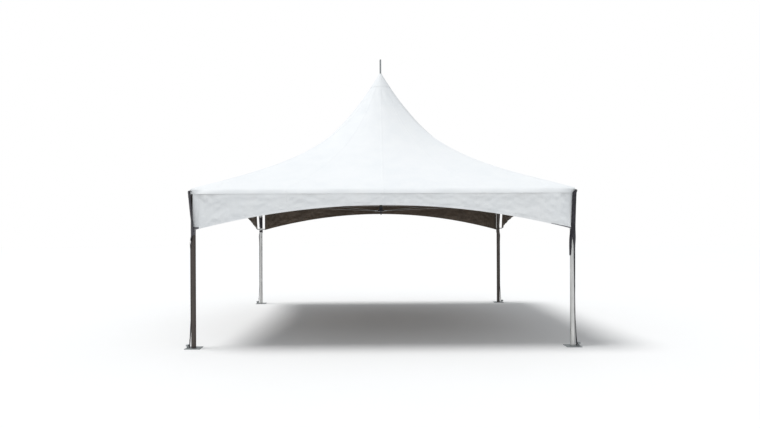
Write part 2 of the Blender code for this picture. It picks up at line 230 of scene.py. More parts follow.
def cloth_shell(name, outer, flat, closed=False):
    """A sheet of the top's cloth from its outer grid: outer face, inner face and cut edges."""
    rows, columns = outer.shape[:2]
    count = rows * columns
    points = np.concatenate([outer, outer - grid_normals(outer, closed) * CLOTH]).reshape(-1, 3)
    front = grid_faces(rows, columns, closed)
    faces = front + [(a + count, d + count, c + count, b + count) for a, b, c, d in front]
    indices = [0] * len(front) + [1] * len(front)
    for j in range(columns if closed else columns - 1):
        a, b = j, (j + 1) % columns
        c, d = a + (rows - 1) * columns, b + (rows - 1) * columns
        faces += [(a, a + count, b + count, b), (c, d, d + count, c + count)]
    for i in range(0 if closed else rows - 1):
        a, d = i * columns, (i + 1) * columns
        b, c = a + columns - 1, d + columns - 1
        faces += [(a, d, d + count, a + count), (b, b + count, c + count, c)]
    indices += [0] * (len(faces) - len(indices))
    uvs = np.tile(flat.reshape(-1, 2), (2, 1))
    return mesh_object(name, points, faces, [top_white, top_underside_shade], indices, uvs)


def skin_rings(name, rings, mat, closed=False):
    """Join rings of points with quads; an open run gets flat ends, a closed one meets itself."""
    rings = np.asarray(rings, float)
    count, around = rings.shape[:2]
    if closed:
        faces = np.array(grid_faces(count + 1, around, True)) % (count * around)
    else:
        ends = range(around), range((count - 1) * around, count * around)
        faces = grid_faces(count, around, True) + [tuple(ends[0])[::-1], tuple(ends[1])]
    return mesh_object(name, rings.reshape(-1, 3), faces, [mat])


def full_turn(sides):
    """Evenly spaced angles once round."""
    return np.arange(sides) / sides * 2 * pi


def flat_band(centres, across, out, width, thickness, cloth):
    """Webbing along a line: across is its width's direction, out its face's.

    The width is one value or one for each point.
    """
    rim = np.broadcast_to(np.asarray(width, float) / 2, (len(centres),))[:, None]
    flat, face = rim - thickness * 0.7, thickness / 2
    section = [
        (-rim, 0), (-flat, face), (0 * rim, face), (flat, face),
        (rim, 0), (flat, -face), (0 * rim, -face), (-flat, -face),
    ]
    rings = [centres + across * a + out * b for a, b in section]
    return skin_rings("band", np.stack(rings, axis=1), cloth)


def turned_shape(name, profile, sides, mat, matrix=Matrix.Identity(4)):
    """A turned piece from (radius, height) points, with closed ends."""
    obj = skin_rings(name, [about_axis(r, full_turn(sides), h) for r, h in profile], mat)
    obj.data.transform(matrix)
    return obj


def joined(name, pieces):
    """Several meshes as one piece."""
    bm = bmesh.new()
    materials, data = [], bpy.data.meshes.new(name)
    for piece in pieces:
        shift = {}
        for number, mat in enumerate(piece.data.materials):
            if mat not in materials:
                materials.append(mat)
            shift[number] = materials.index(mat)
        first = len(bm.faces)
        bm.from_mesh(piece.data)
        bm.faces.ensure_lookup_table()
        for face in bm.faces[first:]:
            face.material_index = shift[face.material_index]
        old = piece.data
        bpy.data.objects.remove(piece, do_unlink=True)
        bpy.data.meshes.remove(old)
    bm.to_mesh(data)
    bm.free()
    for mat in materials:
        data.materials.append(mat)
    return smooth_object(name, data)


# Finishes

RUN_SCALE = (per_metre(250), per_metre(250), per_metre(833))       # dust runs, drawn out downwards
DIE_LINE_SCALE = (per_metre(2.38), per_metre(2.38), per_metre(167))    # fine lines along a tube
WAVES_IN_UNIT = 20 / (2 * pi)      # the wave texture's own count of waves in each unit


def coated_cloth(name, clean, dusty, roughness):
    """PVC coated polyester, knife coated and lacquered: a soft, nearly matt skin over a fine weave.

    The eye sees broad faint clouding, dust that has run down in streaks, sharp fold
    marks from packing and, close up, the scrim's threads under the coat.
    """
    mat, tree, shader, place = blank_material(name, {"Roughness": roughness, "IOR": 1.53})
    broad = add(tree, "ShaderNodeTexNoise", {"Vector": place, "Scale": per_metre(900), "Detail": 4.0})
    runs = add(tree, "ShaderNodeMapping", {"Vector": place, "Scale": RUN_SCALE})
    streaks = add(tree, "ShaderNodeTexNoise", {"Vector": runs, "Scale": 1.0, "Detail": 5.0})
    dirt = add(tree, "ShaderNodeMath", {0: broad, 1: streaks}, operation="MULTIPLY")
    amount = add(tree, "ShaderNodeMapRange", {"Value": dirt, "From Min": 0.14, "From Max": 0.42})
    colour = add(tree, "ShaderNodeMix", {"Factor": amount, "A": clean, "B": dusty}, data_type="RGBA")
    gloss = add(tree, "ShaderNodeMapRange", {
        "Value": streaks, "To Min": roughness - 0.08, "To Max": roughness + 0.10,
    })
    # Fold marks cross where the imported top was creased, about every 450 mm
    bent = add(tree, "ShaderNodeTexNoise", {"Vector": place, "Scale": per_metre(1400), "Detail": 2.0})
    nudge = add(tree, "ShaderNodeMix", {
        "Factor": 0.22, "A": place, "B": bent.outputs["Color"],
    }, data_type="VECTOR")
    folds = add(tree, "ShaderNodeTexVoronoi", {
        "Vector": nudge, "Scale": per_metre(450),
    }, feature="DISTANCE_TO_EDGE")
    crease = add(tree, "ShaderNodeMapRange", {
        "Value": folds, "From Max": 0.05, "To Min": 1.0, "To Max": 0.0,
    })
    # Threads stand 1.1 mm apart on the real cloth; 4 mm here, so that they show at all
    threads = add(tree, "ShaderNodeTexVoronoi", {
        "Vector": place, "Scale": per_metre(4),
    }, distance="CHEBYCHEV")
    grain = add(tree, "ShaderNodeBump", {"Height": threads, "Strength": 0.05, "Distance": 0.0003})
    marks = add(tree, "ShaderNodeBump", {
        "Height": crease, "Strength": 0.07, "Distance": 0.002, "Normal": grain,
    })
    feed(shader, {"Base Color": colour, "Roughness": gloss, "Normal": marks})
    return mat


def woven_webbing(name, plain, worn):
    """Polyester webbing, woven: tight cross ribs, a dull nap and paler worn edges."""
    mat, tree, shader, place = blank_material(
        name, {"Roughness": 0.78, "IOR": 1.5, "Sheen Weight": 0.10, "Sheen Roughness": 0.5},
    )
    scuffs = add(tree, "ShaderNodeTexNoise", {"Vector": place, "Scale": per_metre(35), "Detail": 6.0})
    rubbed = add(tree, "ShaderNodeMapRange", {"Value": scuffs, "From Min": 0.45, "From Max": 0.75})
    colour = add(tree, "ShaderNodeMix", {"Factor": rubbed, "A": plain, "B": worn}, data_type="RGBA")
    # Weft ribs stand 2.2 mm apart on real webbing; 4.3 mm here, so that they show at all
    ribs = add(tree, "ShaderNodeTexWave", {
        "Vector": place, "Scale": per_metre(4.343) / WAVES_IN_UNIT, "Distortion": 0.6,
    }, bands_direction="Z")
    bump = add(tree, "ShaderNodeBump", {
        "Height": ribs.outputs["Fac"], "Strength": 0.5, "Distance": 0.0006,
    })
    feed(shader, {"Base Color": colour, "Normal": bump})
    return mat


def drawn_tube(name, clean, stained, roughness, metallic, stain_share):
    """Extruded tube: fine lines along it from the die, handling scratches and cloudy oxide."""
    mat, tree, shader, place = blank_material(name, {"Roughness": roughness, "Metallic": metallic})
    cloud = add(tree, "ShaderNodeTexNoise", {"Vector": place, "Scale": per_metre(160), "Detail": 6.0})
    along = add(tree, "ShaderNodeMapping", {"Vector": place, "Scale": DIE_LINE_SCALE})
    lines = add(tree, "ShaderNodeTexNoise", {"Vector": along, "Scale": 1.0, "Detail": 3.0})
    both = add(tree, "ShaderNodeMath", {0: cloud, 1: lines}, operation="ADD")
    amount = add(tree, "ShaderNodeMapRange", {
        "Value": both, "From Min": 1.3 - stain_share, "From Max": 1.7 - stain_share,
    })
    colour = add(tree, "ShaderNodeMix", {"Factor": amount, "A": clean, "B": stained}, data_type="RGBA")
    dull = add(tree, "ShaderNodeMapRange", {
        "Value": cloud, "From Min": 0.3, "From Max": 0.7,
        "To Min": roughness - 0.08, "To Max": roughness + 0.12,
    })
    bump = add(tree, "ShaderNodeBump", {"Height": lines, "Strength": 0.25, "Distance": 0.0003})
    feed(shader, {"Base Color": colour, "Roughness": dull, "Normal": bump})
    return mat


def zinc_coated(name, pale, dark, spangle, roughness):
    """Hot-dip galvanised steel: overlapping grey crystals, dull and slightly uneven.

    The spangle is the size of one crystal in millimetres.
    """
    mat, tree, shader, place = blank_material(name, {"Roughness": roughness, "Metallic": 1.0})
    crystals = add(tree, "ShaderNodeTexVoronoi", {"Vector": place, "Scale": per_metre(spangle)})
    cloud = add(tree, "ShaderNodeTexNoise", {"Vector": place, "Scale": per_metre(60), "Detail": 7.0})
    tone = add(tree, "ShaderNodeMix", {
        "Factor": 0.55, "A": crystals.outputs["Color"], "B": cloud.outputs["Color"],
    }, data_type="RGBA")
    level = add(tree, "ShaderNodeRGBToBW", {"Color": tone})
    colour = add(tree, "ShaderNodeMix", {"Factor": level, "A": dark, "B": pale}, data_type="RGBA")
    rough = add(tree, "ShaderNodeMapRange", {
        "Value": level, "To Min": roughness - 0.12, "To Max": roughness + 0.15,
    })
    bump = add(tree, "ShaderNodeBump", {"Height": cloud, "Strength": 0.2, "Distance": 0.0006})
    feed(shader, {"Base Color": colour, "Roughness": rough, "Normal": bump})
    return mat


def sand_cast(name, pale, dark):
    """Aluminium cast in sand and shot blasted: a matt skin of fine pits."""
    mat, tree, shader, place = blank_material(name, {"Roughness": 0.55, "Metallic": 1.0})
    pits = add(tree, "ShaderNodeTexNoise", {"Vector": place, "Scale": per_metre(2.5), "Detail": 8.0})
    cloud = add(tree, "ShaderNodeTexNoise", {"Vector": place, "Scale": per_metre(45), "Detail": 5.0})
    colour = add(tree, "ShaderNodeMix", {"Factor": cloud, "A": dark, "B": pale}, data_type="RGBA")
    bump = add(tree, "ShaderNodeBump", {"Height": pits, "Strength": 0.55, "Distance": 0.0008})
    feed(shader, {"Base Color": colour, "Normal": bump})
    return mat


top_white = coated_cloth("PVC coated polyester white", "#f4f6f7", "#eff2f4", 0.66)
# The underside's dark brown is painted shade: it darkens the inside of the top and the skirts
top_underside_shade = coated_cloth("PVC coated polyester backing with painted shade", "#65584b", "#4f4439", 0.60)
tube_bright = drawn_tube("mill finish aluminium tube", "#d3d3d1", "#adadab", 0.34, 1.0, 0.10)
# A much darker copy of the aluminium for the king pole: painted shade under the top
tube_deep_shade = drawn_tube("aluminium tube with deep painted shade", "#5c5e59", "#41433f", 0.50, 1.0, 0.20)
# A darker copy of the mill finish tube: painted shade
tube_painted_shade = drawn_tube("aluminium tube with painted shade", "#59534f", "#423d3b", 0.42, 0.75, 0.15)
zinc = zinc_coated("hot-dip galvanised steel", "#c9cdcd", "#8f9495", 9.0, 0.46)
casting = sand_cast("sand cast aluminium", "#b9bab8", "#8d8e8c")
rope_steel = zinc_coated("galvanised wire rope", "#b4b6b5", "#7d7f7f", 3.0, 0.42)
webbing = woven_webbing("black polyester webbing", "#262329", "#3d3a42")
webbing_grey = woven_webbing("grey polyester webbing", "#6d6b70", "#8b898e")
# Galvanised steel made much darker for the cable hub: painted shade
steel_painted_shade = zinc_coated("galvanised steel with painted shade", "#55555a", "#2e2e33", 5.0, 0.40)


# The top: one sheet over the eave tubes, square at the eave and round at the peak

PEAK_RISE = 2.585
PEAK_LINEAR = 0.53       # share of the rise that is a straight slope
PEAK_POWER = 3.1         # how sharply the rest sweeps up
ROUNDING_POWER = 1.2     # how soon the square turns round
PEAK_HALF = 0.036
CAP_HALF = 0.214         # the rain cap covers the cloth inside this
SIDE_COLUMNS = 80        # columns of the cloth grid on each side
ROOF_ROWS = 96
FLAP_ROWS = 15
FLAP_EDGE = EAVE_HEIGHT - 0.058    # the top hangs over the eave tube and the skirts' upper edges
FLAP_TURN = radians(19)            # how far the hanging edge still faces up
FLAP_RUN_ON = 1.2                  # above 1, slack cloth keeps the roof's slope longer before it bends
FLAP_LEAN = 0.0024                 # how far a tight edge leans out
WRAP_END = pi / 2 - atan2(PEAK_RISE * PEAK_LINEAR / HALF, 1)
SOLID_WRAP = WRAP_RADIUS + SOLID_CLOTH
ROOF_HALF = HALF + SOLID_WRAP * cos(WRAP_END)
ROOF_EAVE = EAVE_HEIGHT + SOLID_WRAP * sin(WRAP_END)
ROOF_START = ROOF_HALF - 0.012     # the lowest row above the bend
BEARING = SOLID_CLOTH - CLOTH      # from the solid's skin down to cloth that bears on the frame
FLOATING = SOLID_CLOTH * 0.45      # the same where nothing carries the cloth

# How high the top's wrinkles stand
CORNER_FOLDS = 0.0024    # they fan out from a corner
CORNER_REACH = 0.55      # how far from the corner they are highest
SCALLOPS = 0.0012        # between the corners, where the cloth pulls tight over the tube
SCALLOP_LENGTH = 0.47
PEAK_PLEATS = 0.0026
ROOF_DENTS = ((0.0014, 0.85, 3.1), (0.0004, 2.6, 8.4))     # (height, dents in a metre, seed)
FLAP_FOLDS = 0.0022
CORNER_PINCHES = 0.0060
CORNER_HELD = 0.076      # closer to a corner than this the hanging edge is pulled flat


def off_middle(angle):
    """Angle from the middle of the side that it falls on."""
    return (angle + pi / 4) % (pi / 2) - pi / 4


def cloth_line(half):
    """Height and slope of the solid's skin at the middle of a side."""
    part = np.clip(1 - half / ROOF_HALF, 0, 1)
    height = ROOF_EAVE + PEAK_RISE * (PEAK_LINEAR * part + (1 - PEAK_LINEAR) * part ** PEAK_POWER)
    slope = PEAK_RISE / ROOF_HALF * (
        PEAK_LINEAR + (1 - PEAK_LINEAR) * PEAK_POWER * part ** (PEAK_POWER - 1)
    )
    return height, slope


def level_section(half, angle):
    """Plan distance from the axis: the level section is a square that turns round."""
    rounding = np.clip(1 - half / ROOF_HALF, 0, 1) ** ROUNDING_POWER
    return (1 - rounding) / np.cos(off_middle(angle)) + rounding


def tension_marks(x, y):
    """Height of the cloth's wrinkles over plan points: corner fans, scallops, peak pleats, dents."""
    reach = np.hypot(x, y)
    corner_x, corner_y = np.abs(x), np.abs(y)
    away = np.hypot(HALF - corner_x, HALF - corner_y)
    fan = np.arctan2(HALF - corner_y, HALF - corner_x) - pi / 4
    quarter = np.sign(x) * 1.3 + np.sign(y) * 2.1
    growth = (away / CORNER_REACH) ** 2 * np.exp(2 - 2 * away / CORNER_REACH)
    marks = CORNER_FOLDS * growth * np.cos(fan * 9 + 0.8 * np.sin(away * 5 + quarter) + quarter)
    edge = HALF - np.maximum(corner_x, corner_y)
    along = np.minimum(corner_x, corner_y) * np.sign(np.where(corner_x > corner_y, y, x))
    scallops = np.exp(-edge / 0.30) * np.cos(along * 2 * pi / SCALLOP_LENGTH + quarter)
    marks += SCALLOPS * scallops * smooth_step(0, 0.5, away)
    pleats = np.exp(-((reach - 0.42) / 0.26) ** 2)
    marks += PEAK_PLEATS * pleats * np.cos(np.arctan2(y, x) * 16 + 2.2 * np.sin(reach * 7))
    field = smooth_step(0.04, 0.5, edge) * smooth_step(0.25, 0.9, reach)
    for depth, often, seed in ROOF_DENTS:
        marks += depth * field * ripple(x * often, y * often, seed)
    return marks * smooth_step(0.0, 0.25, edge) * smooth_step(CAP_HALF, CAP_HALF + 0.12, reach)


def skin_point(half, angle, depth):
    """Point this deep below the solid's skin."""
    height, slope = cloth_line(half)
    norm = np.hypot(1, slope)
    moved_half = half - depth * slope / norm
    return about_axis(moved_half * level_section(half, angle), angle, height - depth / norm)


def cloth_depth(half):
    """The cloth bears on the tubes and the mast head, and floats in the solid between."""
    ends = 1 - smooth_step(0.10, 0.80, half) + smooth_step(ROOF_HALF - 0.5, ROOF_HALF - 0.02, half)
    return BEARING * ends + FLOATING * (1 - ends)


def roof_point(half, angle, lift=0.0):
    """Point of the finished cloth's outer face, wrinkles and all, lifted off it by lift."""
    half, angle = np.broadcast_arrays(np.asarray(half, float), np.asarray(angle, float))
    depth = cloth_depth(half)
    base = skin_point(half, angle, depth)
    small = 1e-4
    down = skin_point(half + small, angle, depth) - base
    across = skin_point(half, angle + small, depth) - base
    marks = tension_marks(base[..., 0], base[..., 1])
    return base + unit(np.cross(down, across)) * (marks + lift)[..., None]


def flap_lines(share):
    """(out, height, facing) of the cloth bent over the eave tube, tight and slack.

    The share runs from 0 at the roof to 1 at the hanging edge. Pulled tight the cloth goes round
    the tube and straight down; slack, it runs on a little at the roof's slope and then bends.
    """
    radius = WRAP_RADIUS + CLOTH
    arc = radius * WRAP_END
    gone = share * (arc + EAVE_HEIGHT - FLAP_EDGE)
    turn = WRAP_END - np.minimum(gone, arc) / radius
    tight = (
        radius * np.cos(turn) + FLAP_LEAN * smooth_step(0, 1, share),
        EAVE_HEIGHT + radius * np.sin(turn) - np.maximum(gone - arc, 0), turn,
    )
    start_out, start_height = radius * cos(WRAP_END), EAVE_HEIGHT + radius * sin(WRAP_END)
    steps = np.linspace(0, 1, 201)
    turns = WRAP_END + (FLAP_TURN - WRAP_END) * steps ** FLAP_RUN_ON
    outward, downward = np.cumsum(np.sin(turns)), np.cumsum(np.cos(turns))
    size = (start_height - FLAP_EDGE) / downward[-1]
    slack = (
        start_out + size * np.interp(share, steps, outward),
        start_height - size * np.interp(share, steps, downward), np.interp(share, steps, turns),
    )
    return tight, slack


def pucker(along, height):
    """How far the hanging cloth stands out where its seams and the corner's pull gather it."""
    end = HALF - np.abs(along)
    folds = ripple(along * 3.4 + height * 3.0, height * 6.0, 21.0)
    pinches = ripple(along * 5.0 - height * 8.0 * np.sign(along), height * 7.0, 27.0)
    gathers = FLAP_FOLDS * folds + CORNER_PINCHES * np.exp(-end / 0.45) * pinches
    grown = smooth_step(EAVE_HEIGHT + 0.035, FLAP_EDGE + 0.01, height)
    return gathers * grown * smooth_step(CORNER_HELD, 0.18, end)


def slackness(along):
    """How slack the eave's cloth is: tight at the corners, uneven between them."""
    uneven = 0.74 + 0.26 * ripple(along * 2.1, 0.0, 4.4)
    return smooth_step(CORNER_HELD, 0.27, HALF - np.abs(along)) * uneven


def flap_out(height, along):
    """How far out from the tube's axis the cloth's outer face is at a height on the flap."""
    tight, slack = (np.interp(-height, -line[1], line[0]) for line in flap_lines(np.linspace(0, 1, 80)))
    loose = slackness(along)
    return (1 - loose) * tight + loose * slack + pucker(along, height)


def wrap_point(share, angle, lift=0.0):
    """Point on the cloth's outer face where it bends over the eave tube, lifted off it by lift."""
    share, angle = np.broadcast_arrays(np.asarray(share, float), np.asarray(angle, float))
    local = off_middle(angle)
    along = HALF * np.tan(local)
    loose = slackness(along)
    out, height, turn = ((1 - loose) * a + loose * b for a, b in zip(*flap_lines(share)))
    half = HALF + out + pucker(along, height) + lift * np.cos(turn)
    return about_axis(half / np.cos(local), angle, height + lift * np.sin(turn))


def row_halves(rows, start, end, power):
    """Half widths of the rows up the cloth, closer together towards the peak."""
    return end + (start - end) * (1 - np.arange(rows + 1) / rows) ** power


def make_top():
    """The whole top as one sheet of cloth with its underside."""
    # Columns stand evenly along the eave, one of them on each hip
    quarter = np.arctan(-1 + 2 * np.arange(SIDE_COLUMNS) / SIDE_COLUMNS)
    angles = np.concatenate([quarter + radians(turn) for turn in SIDES.values()])
    wrap = wrap_point(np.linspace(1, 0, FLAP_ROWS)[:, None], angles)
    roof = roof_point(row_halves(ROOF_ROWS, ROOF_START, PEAK_HALF, 1.45)[:, None], angles)
    grid = np.concatenate([wrap, roof])
    up = reached(np.linalg.norm(np.diff(grid, axis=0), axis=2).mean(axis=1))
    flat = flat_grid(np.arange(len(angles)) / SIDE_COLUMNS * 2 * HALF, up)
    top = cloth_shell("roof_top", grid, flat, closed=True)
    fix(top, "top_fabric", [f"roof_panel_{side}" for side in SIDES])
    quads = np.cross(grid[1:] - grid[:-1], np.roll(grid, -1, axis=1)[:-1] - grid[:-1])
    return top, float(np.linalg.norm(quads, axis=2).sum())


SEAM_WIDTH = 0.040
HIP_WIDTH = 0.060
SEAM_ROWS = 90
SEAM_CLEAR = 0.0003      # keeps a seam clear of the top's flat facets


def seam_band(angle, width):
    """Points of a welded band that runs up the cloth at one angle about the axis."""
    halves = row_halves(SEAM_ROWS, ROOF_HALF - 0.02, CAP_HALF - 0.03, 1.3)
    offsets = np.array([-0.5, -0.46, -0.25, 0.0, 0.25, 0.46, 0.5]) * width
    lifts = np.array([0, 1, 1, 1, 1, 1, 0]) * LAP + SEAM_CLEAR
    reach = halves * level_section(halves, angle)
    turn = angle + offsets / (reach[:, None] / cos(off_middle(angle)))
    flap = wrap_point(np.linspace(0.99, 0, FLAP_ROWS)[:, None], turn[0], lifts)
    return np.concatenate([flap, roof_point(halves[:, None], turn, lifts)])


def join_bands(name, bands):
    """Several grids of the top's cloth as one mesh."""
    points, faces, uvs, base = [], [], [], 0
    for grid in bands:
        rows, columns = grid.shape[:2]
        points.append(grid.reshape(-1, 3))
        uvs.append(flat_grid(np.linspace(0, 0.04, columns), np.linspace(0, 4.0, rows)).reshape(-1, 2))
        faces += grid_faces(rows, columns, base=base)
        base += rows * columns
    return mesh_object(name, np.concatenate(points), faces, [top_white], uvs=np.concatenate(uvs))


def make_seams():
    """Welded seams: hips from corner to peak, and gores 1.5 m wide at the eave between them."""
    bands = []
    for side in SIDES.values():
        bands.append(seam_band(radians(side + 45), HIP_WIDTH))
        for share in (-0.5, 0.0, 0.5):
            bands.append(seam_band(radians(side) + atan2(share, 1), SEAM_WIDTH))
    return fix(join_bands("roof_seams", bands), "top_fabric")


def patch_point(x, y, lift):
    """Point of the cloth over a plan point near the eave."""
    angle, reach = np.arctan2(y, x), np.hypot(x, y)
    half = np.maximum(np.abs(x), np.abs(y))
    for _ in range(6):
        half = reach / level_section(half, angle)
    return roof_point(np.minimum(half, ROOF_START), angle, lift)


PATCH_SIZE = 0.52
PATCH_RINGS = 14
PATCH_SPOKES = 25
PATCH_LIFT = 2.2 * LAP
PATCH_EDGE = 0.0002      # its edges are pressed down to this


def make_corner_patches():
    """Second layer of cloth welded on at each corner, where the pull comes together."""
    tip = ROOF_HALF - 0.014
    reach = np.append(np.linspace(0.02, PATCH_SIZE, PATCH_RINGS), PATCH_SIZE + 0.006)[:, None]
    fan = np.concatenate([[0.0], np.linspace(0.015, pi / 2 - 0.015, PATCH_SPOKES - 2), [pi / 2]])
    # The outer edge is scalloped: longest on the hip, shorter along the eaves
    cut = 0.72 + 0.28 * np.cos((fan - pi / 4) * 2) ** 2
    lift = np.full((len(reach), len(fan)), PATCH_LIFT)
    lift[-1] = lift[:, 0] = lift[:, -1] = PATCH_EDGE
    bands = []
    for sign_x, sign_y in CORNERS.values():
        x = sign_x * (tip - reach * cut * np.cos(fan))
        y = sign_y * (tip - reach * cut * np.sin(fan))
        grid = patch_point(x, y, lift)
        bands.append(grid if sign_x * sign_y > 0 else grid[:, ::-1])
    return fix(join_bands("roof_corner_patches", bands), "top_fabric")


CAP_ROWS = 14
CAP_COLUMNS = 96
CAP_LIFT = 0.0021        # off the top
CAP_HEM = 0.022
CAP_CORD = 0.0022        # radius of the tie round the collar
CORD_OUT = 0.0066        # from the rod to the middle of the tie
# The collar's rows: (how far clear of the rod, share of the rise to its top)
COLLAR = ((0.0150, 0.50), (0.0090, 0.72), (0.0055, 0.90), (0.0040, 1.0))


def make_peak_cap():
    """Rain cap: a small cone of the same cloth with a turned hem, drawn in round the rod."""
    angles = full_turn(CAP_COLUMNS)
    rod, cap_top = span("finial_rod").x / 2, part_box("peak_cap")[1].z
    gathers = 0.0005 * np.cos(angles * 12) + 0.0003 * np.cos(angles * 7 + 1.0)
    fade = np.linspace(1.0, 0.25, CAP_ROWS + 1)[:, None]
    halves = row_halves(CAP_ROWS, CAP_HALF, PEAK_HALF, 1.2)[:, None]
    cone = roof_point(halves, angles, CAP_LIFT + gathers * fade)
    turned_hem = cone[0] + (cone[0] - cone[1]) * 0.10
    turned_hem[:, :2] *= 1.004
    pinched = 1 + 0.05 * np.cos(angles * 12)
    foot = cone[-1][:, 2].mean()
    collar = [
        about_axis((rod + clear) * pinched, angles, foot + (cap_top - foot) * rise)
        for clear, rise in COLLAR
    ]
    grid = np.concatenate([turned_hem[None], cone, collar])
    flat = flat_grid(angles * 0.15, np.linspace(0, 0.34, len(grid)))
    cap = cloth_shell("peak_cap_cloth", grid, flat, closed=True)
    fix(cap, "top_fabric", ["peak_cap"])

    lifts = CAP_LIFT + gathers + np.array([0.0002, 0.0005, 0.0006, 0.0003])[:, None]
    band = roof_point(CAP_HALF - CAP_HEM * np.array([0.0, 0.15, 0.85, 1.0])[:, None], angles, lifts)
    hem = fix(join_bands("peak_cap_hem", [np.concatenate([band, band[:, :1]], axis=1)]), "top_fabric")
    section = full_turn(8)
    reach = rod + CORD_OUT + CAP_CORD * np.cos(section)
    height = cap_top - 0.005 - CAP_CORD * np.sin(section)
    rings = [about_axis(reach, angle, height) for angle in full_turn(48)]
    return cap, [hem, fix(skin_rings("peak_cap_tie", rings, webbing, closed=True), "webbing")]


top_sheet, top_area = make_top()
top_seams = make_seams()
top_patches = make_corner_patches()
cap_sheet, cap_pieces = make_peak_cap()


# Skirts: an arched sheet on each side, its hem pulled tight by a strap at each corner

SKIRT_MIDDLE = 2.258     # hem height at the middle of a side
SKIRT_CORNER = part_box("valance_front")[0].z
SKIRT_HALF = {"front": 3.006, "rear": 2.920, "left": 2.800, "right": 2.800}
SKIRT_SEEDS = {"front": 1.3, "rear": 5.7, "left": 9.1, "right": 13.9}
REAR_REACH = 0.055       # the rear skirt hangs this much nearer the right leg than the left one
SKIRT_TOP = EAVE_HEIGHT - 0.012    # upper edge, hidden behind the top's hanging edge
SKIRT_TOP_OUT = 0.072    # from the tube's axis; the top's slack edge hangs clear of it
SKIRT_HEM_OUT = 0.0445   # the taut hem runs this far out from the leg's axis
UNDER_FLAP = CLOTH + 0.0036        # in from the top's outer face to the skirt's
SKIRT_COLUMNS = 330
HEM_WIDTH = 0.045
HEM_CLEAR = 0.0007       # keeps the hem and the seams clear of the skirt's flat facets
SKIRT_SEAM_CLEAR = 0.0009

# How far the skirts' wrinkles stand out
FLUTES = 0.0034
CRUMPLES = (             # (height, (waves along, lean), (waves up, lean), seed)
    (0.0060, (0.9, 0.0), (7.0, 0.5), 2),       # long and shallow, where the cloth was folded in its bag
    (0.0076, (2.4, 0.0), (9.0, -1.1), 5),
    (0.0075, (8.0, 4.0), (11.0, 0.0), 8),      # smaller dents, never in rows
    (0.0052, (17.0, -7.0), (19.0, 0.0), 11),
)
TUCK = 0.0045            # inwards, just below the top's hanging edge
UPPER_FAN = 0.0100       # short folds from the upper corner, where the strap pulls
DRAG_LINES = 0.0050      # they climb from the tied lower corner towards the eave
PLEAT = 0.0070           # one beside the strap
HEM_CURL = 0.0080        # short ripples between the points where the pull crosses the hem
SKIRT_LIFT = 0.0045      # the whole skirt, once it is below the eave


def skirt_end(side, toward):
    """Where the skirt ends, from the middle of its side, towards one end or the other."""
    return toward * (SKIRT_HALF[side] + (REAR_REACH if side == "rear" and toward < 0 else 0.0))


def hem_height(along, half):
    return SKIRT_MIDDLE - (SKIRT_MIDDLE - SKIRT_CORNER) * (along / half) ** 2


def skirt_wave(along, height, half, seed):
    """How far the skirt stands out from flat: wrinkles, flutes, corner fans, hem curls."""
    drop = np.clip(EAVE_HEIGHT - 0.02 - height, 0, None)
    below = smooth_step(0.03, 0.12, drop)
    to_hem = np.clip(height - hem_height(along, half), 0, None)
    end = half - np.abs(along)
    side = np.sign(along)
    phase = along + 0.060 * ripple(along * 0.9, height * 0.9, seed)
    flutes = np.sin(phase * 2 * pi / 0.46 + seed) * 0.6 + np.sin(phase * 2 * pi / 0.27 + 2 * seed) * 0.4
    wave = FLUTES * flutes * (0.35 + 0.65 * np.exp(-end / 0.7)) * smooth_step(0.02, 0.30, drop)
    for depth, (often, lean), (often_up, lean_up), shift in CRUMPLES:
        dents = ripple(along * often + height * lean, height * often_up + along * lean_up, seed + shift)
        wave += depth * dents * below
    tuck = 0.7 + 0.6 * ripple(along * 1.1, 0.0, seed + 17)
    wave -= TUCK * tuck * np.exp(-((drop - 0.085) / 0.030) ** 2)
    fan = np.arctan2(drop + 0.02, end + 0.02)
    reach = np.hypot(end, drop)
    near = np.exp(-((reach - 0.24) / 0.15) ** 2)
    wave += UPPER_FAN * np.cos(fan * 11 + seed * 1.7 + side + 2.5 * np.sin(reach * 9)) * near * below
    climb = (height - SKIRT_CORNER) * 0.80 - end * 0.60
    low_reach = np.hypot(end, height - SKIRT_CORNER)
    drag = np.cos(climb * 2 * pi / 0.115 + seed + side)
    wave += DRAG_LINES * drag * np.exp(-((low_reach - 0.34) / 0.24) ** 2) * below
    wave += PLEAT * np.exp(-((end - 0.115) / 0.040) ** 2) * smooth_step(0.05, 0.25, drop)
    curl = ripple(phase * 5.5, height * 2.0, seed + 14) * (0.40 + 0.60 * np.exp(-end / 0.6))
    wave += HEM_CURL * curl * np.exp(-to_hem / 0.045)
    # Across the leg and along the tie it lies flat
    return SKIRT_LIFT * smooth_step(0.0, 0.12, drop) + wave * smooth_step(0.045, 0.13, end)


def turned_points(points, degrees):
    c, s = cos(radians(degrees)), sin(radians(degrees))
    x, y, z = points[..., 0], points[..., 1], points[..., 2]
    return np.stack([x * c - y * s, x * s + y * c, z], axis=-1)


def skirt_point(side, along, height, lift=0.0):
    """Point of a skirt's outer face, lifted off it by lift."""
    half = SKIRT_HALF[side]
    low = hem_height(along, half)
    top_out = np.minimum(flap_out(np.maximum(height, FLAP_EDGE), along) - UNDER_FLAP, SKIRT_TOP_OUT)
    share = np.clip((height - low) / (FLAP_EDGE - low), 0.0, 1.0)
    out = HALF + SKIRT_HEM_OUT + (top_out - SKIRT_HEM_OUT) * share
    # The wrinkles go neither into the eave tube nor out through the top's hanging edge
    inmost = -0.0004 - 0.03 * smooth_step(0.06, 0.16, EAVE_HEIGHT - height)
    outmost = 0.030 * smooth_step(-0.004, 0.050, FLAP_EDGE - height)
    out = out + np.clip(skirt_wave(along, height, half, SKIRT_SEEDS[side]), inmost, outmost) + lift
    return turned_points(np.stack(np.broadcast_arrays(out, along, height), axis=-1), SIDES[side])


def skirt_rows(side, along, shares):
    """Heights of the cloth's rows over each place along, from hem to upper edge."""
    low = hem_height(along, SKIRT_HALF[side])
    return low + (SKIRT_TOP - low) * shares[:, None]


